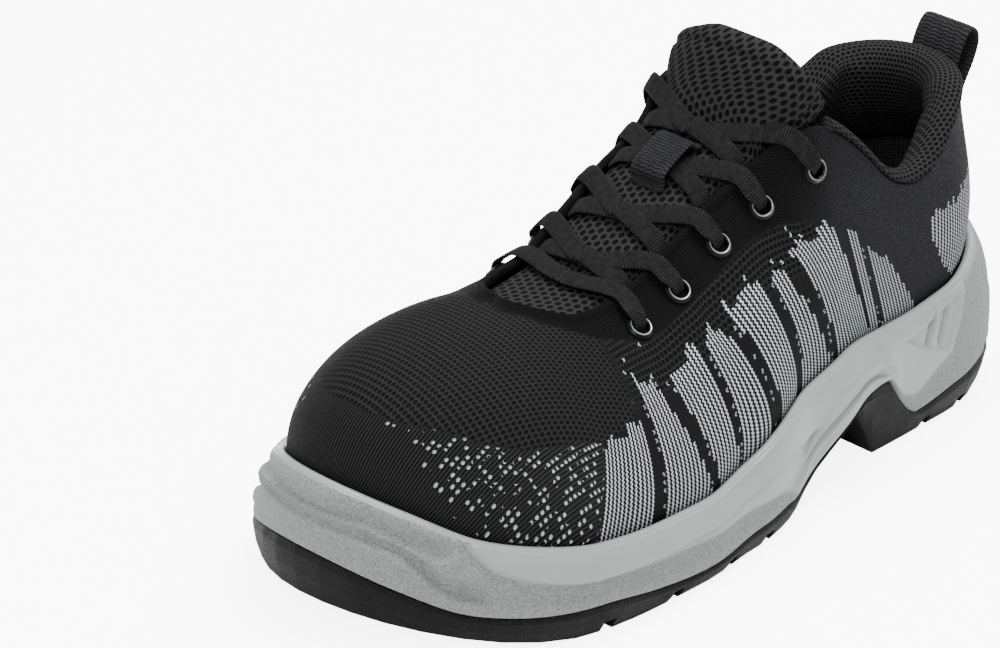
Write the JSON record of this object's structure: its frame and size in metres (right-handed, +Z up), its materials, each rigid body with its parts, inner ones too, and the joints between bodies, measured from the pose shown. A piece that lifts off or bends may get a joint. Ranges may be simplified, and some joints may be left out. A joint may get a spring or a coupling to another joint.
{
  "type": "safety sneaker",
  "caption": "Low laced work shoe for the left foot: knitted upper with padded collar and tongue, light foam midsole, cleated rubber outsole and a pull loop at the heel.",
  "frame": {"origin": "on the ground, at the middle of the bounding box's plan", "axes": "+X from toe to heel, +Y to the inner (medial) side, +Z up"},
  "size_m": [0.3, 0.118, 0.137],
  "materials": {
    "outsole_rubber": "satin black moulded rubber",
    "midsole_foam": "light grey moulded foam, finely pebbled",
    "upper_knit": "black and light grey knit",
    "insole_textile": "black textile",
    "collar_mesh": "black padded mesh",
    "tongue_mesh": "black open mesh",
    "eyelet_metal": "gloss black",
    "lace_weave": "black flat weave",
    "keeper_webbing": "dark grey ribbed webbing",
    "loop_webbing": "black webbing"
  },
  "bodies": {
    "root": {"outsole": "outsole_rubber", "midsole": "midsole_foam", "upper": "upper_knit", "insole": "insole_textile", "collar_padding": "collar_mesh", "tongue": "tongue_mesh", "tongue_lace_keeper": "keeper_webbing", "heel_pull_loop": "loop_webbing", "eyelet_lateral_1": "eyelet_metal", "eyelet_lateral_2": "eyelet_metal", "eyelet_lateral_3": "eyelet_metal", "eyelet_lateral_4": "eyelet_metal", "eyelet_lateral_5": "eyelet_metal", "eyelet_medial_1": "eyelet_metal", "eyelet_medial_2": "eyelet_metal", "eyelet_medial_3": "eyelet_metal", "eyelet_medial_4": "eyelet_metal", "eyelet_medial_5": "eyelet_metal", "lace_bar": "lace_weave", "lace_crossing_1": "lace_weave", "lace_crossing_2": "lace_weave", "lace_crossing_3": "lace_weave", "lace_crossing_4": "lace_weave"}
  },
  "joints": []
}
